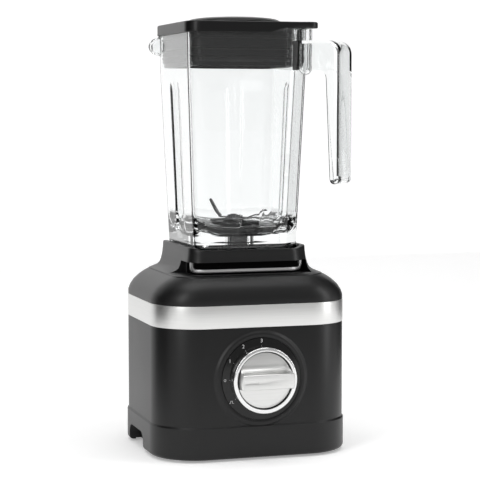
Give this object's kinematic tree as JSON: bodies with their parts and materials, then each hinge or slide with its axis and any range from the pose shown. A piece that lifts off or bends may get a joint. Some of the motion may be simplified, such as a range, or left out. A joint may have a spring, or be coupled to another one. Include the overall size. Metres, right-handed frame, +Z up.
{
  "type": "countertop blender",
  "caption": "Countertop blender: square black base with a metal band and a rotary dial, clear square jar with an open grip, blade set, black plug-in lid and cap.",
  "frame": {"origin": "bottom centre of the whole blender's bounding box, on the counter", "axes": "+Z up, -Y out of the dial's face, +X to the right as the dial is faced"},
  "size_m": [0.1824, 0.1838, 0.3942],
  "materials": {
    "black_body": "satin black, even sheen",
    "band_metal": "brushed along its length, satin",
    "satin_trim": "satin grey",
    "dark_plastic": "matte",
    "screw_steel": "plain",
    "rubber": "matte",
    "cast_alloy": "as cast",
    "lamination": "stacked steel sheet",
    "copper_wire": "varnished copper",
    "bearing_steel": "ground",
    "carbon": "matte graphite",
    "brass_part": "plain brass",
    "switch_plastic": "matte",
    "board_green": "lacquered",
    "dial_black": "glossy",
    "knob_metal": "bright",
    "knob_satin": "satin",
    "coupler_plastic": "matte, filled",
    "jar_clear": "clear moulded plastic, polished",
    "hub_dark": "dark, polished",
    "blade_steel": "dark ground steel",
    "lid_black": "satin black",
    "seal_black": "satin black"
  },
  "bodies": {
    "base": {"lower_housing": "black_body", "metal_band": "band_metal", "top_housing": "black_body", "slot_trim": "satin_trim", "base_plate": "dark_plastic", "plate_screws": "screw_steel", "rubber_feet": "rubber", "cord_gland": "dark_plastic", "motor_upper_bracket": "cast_alloy", "motor_lower_bracket": "cast_alloy", "bracket_bolts": "screw_steel", "motor_isolators": "rubber", "motor_screws": "screw_steel", "stator_core": "lamination", "field_coils": "copper_wire", "upper_bearing": "bearing_steel", "lower_bearing": "bearing_steel", "carbon_brushes": "carbon", "brush_holders": "brass_part", "shaft_seal": "rubber", "rotary_switch": "switch_plastic", "switch_washer": "screw_steel", "control_board": "board_green", "board_parts": "dark_plastic", "board_posts": "dark_plastic", "dial_plate": "dial_black"},
    "dial": {"switch_shaft": "bearing_steel", "knob_body": "dark_plastic", "knob_ring": "knob_metal", "knob_face": "knob_satin"},
    "rotor": {"motor_shaft": "bearing_steel", "rotor_core": "lamination", "commutator": "copper_wire", "cooling_fan": "dark_plastic", "drive_coupler": "coupler_plastic"},
    "jar": {"jar": "jar_clear", "jar_gasket": "rubber", "blade_housing": "hub_dark", "jar_nut": "coupler_plastic", "blade_bushes": "brass_part"},
    "blades": {"blade_shaft": "bearing_steel", "lower_blade": "blade_steel", "upper_blade": "blade_steel", "blade_spacer": "bearing_steel", "blade_nut": "blade_steel", "driven_coupler": "coupler_plastic"},
    "lid": {"lid": "lid_black", "lid_seal": "seal_black"},
    "cap": {"cap": "lid_black", "cap_seal": "seal_black"}
  },
  "joints": [
    {"name": "dial_turn", "type": "hinge", "parent": "base", "child": "dial", "pos_m": [0, -0.08345, 0.073], "axis": [0, 1, 0], "range_deg": [-35, 90]},
    {"name": "rotor_spin", "type": "hinge", "parent": "base", "child": "rotor", "pos_m": [0, 0.01075, 0.1], "axis": [0, 0, 1], "continuous": true},
    {"name": "jar_lift", "type": "slide", "parent": "base", "child": "jar", "axis": [0, 0, 1], "range_m": [0, 0.06]},
    {"name": "blade_spin", "type": "hinge", "parent": "jar", "child": "blades", "pos_m": [0, 0.01075, 0.2], "axis": [0, 0, 1], "continuous": true},
    {"name": "lid_lift", "type": "slide", "parent": "jar", "child": "lid", "axis": [0, 0, 1], "range_m": [0, 0.06]},
    {"name": "cap_lift", "type": "slide", "parent": "lid", "child": "cap", "axis": [0, 0, 1], "range_m": [0, 0.03]}
  ],
  "couplings": [
    {"joint": "blade_spin", "follows": "rotor_spin", "ratio": 1}
  ]
}
